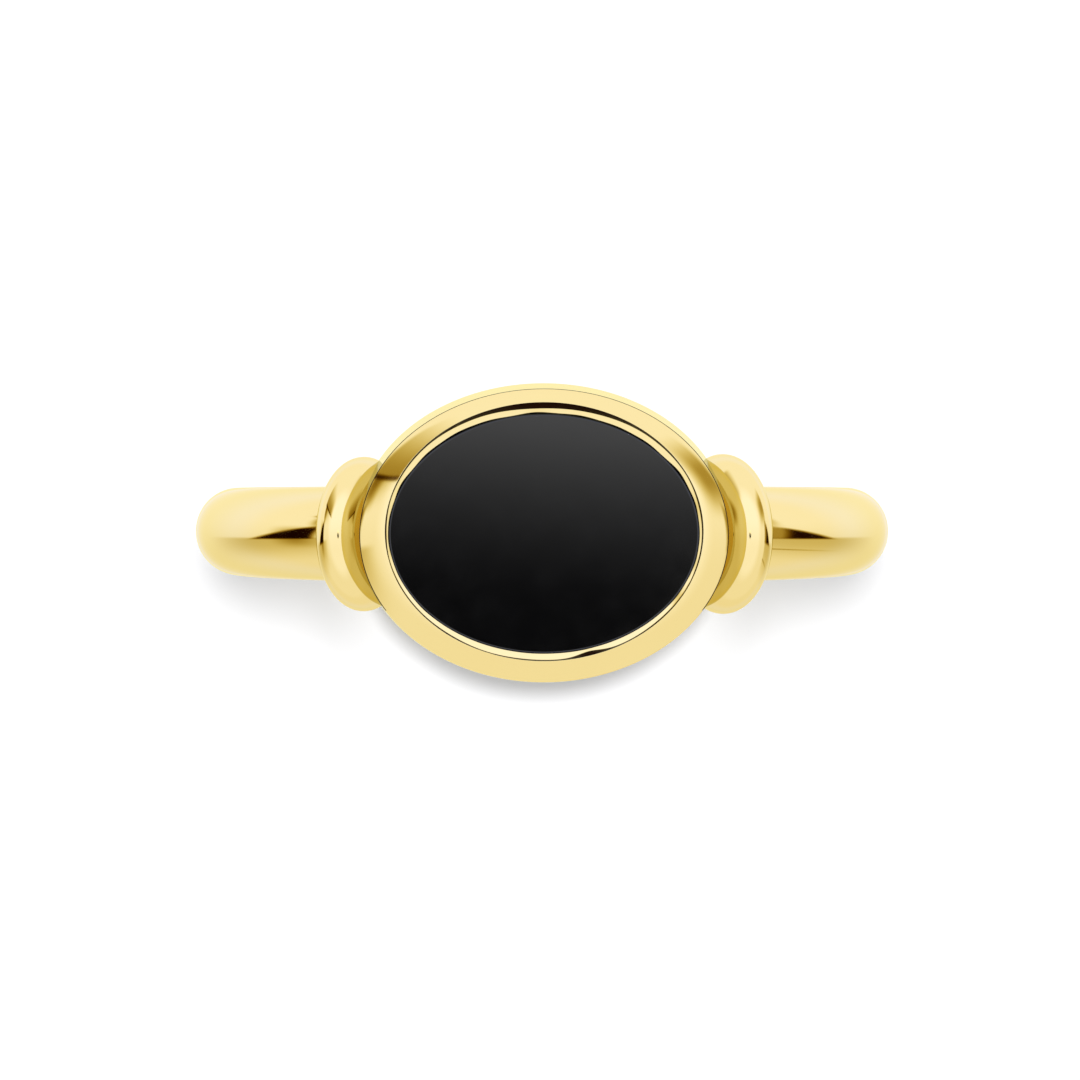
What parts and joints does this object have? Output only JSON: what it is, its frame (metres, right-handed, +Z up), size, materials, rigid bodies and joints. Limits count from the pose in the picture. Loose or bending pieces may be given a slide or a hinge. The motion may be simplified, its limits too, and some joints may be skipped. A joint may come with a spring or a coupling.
{
  "type": "signet ring",
  "caption": "Gold signet ring: a flat oval black onyx in a bevelled oval bezel, with a round collar bead on each shoulder and a half-round band that tapers to its base.",
  "frame": {"origin": "centre of the finger hole, on its axis, at the middle of the band's width", "axes": "+Z up through the middle of the stone, +Y along the finger, +X along the stone's long axis to the wearer's right-hand shoulder of the ring as seen from above"},
  "size_m": [0.0212, 0.0089, 0.0222],
  "materials": {
    "polished_gold": "mirror-polished 14 carat yellow gold",
    "seat_gold": "satin 14 carat yellow gold, as left by the setting burr",
    "black_onyx": "polished black onyx"
  },
  "bodies": {
    "root": {"shank": "polished_gold", "shoulder_collar_left": "polished_gold", "shoulder_collar_right": "polished_gold", "gallery_base": "polished_gold", "bezel_collet": "polished_gold", "stone_seat": "seat_gold", "onyx_stone": "black_onyx"}
  },
  "joints": []
}
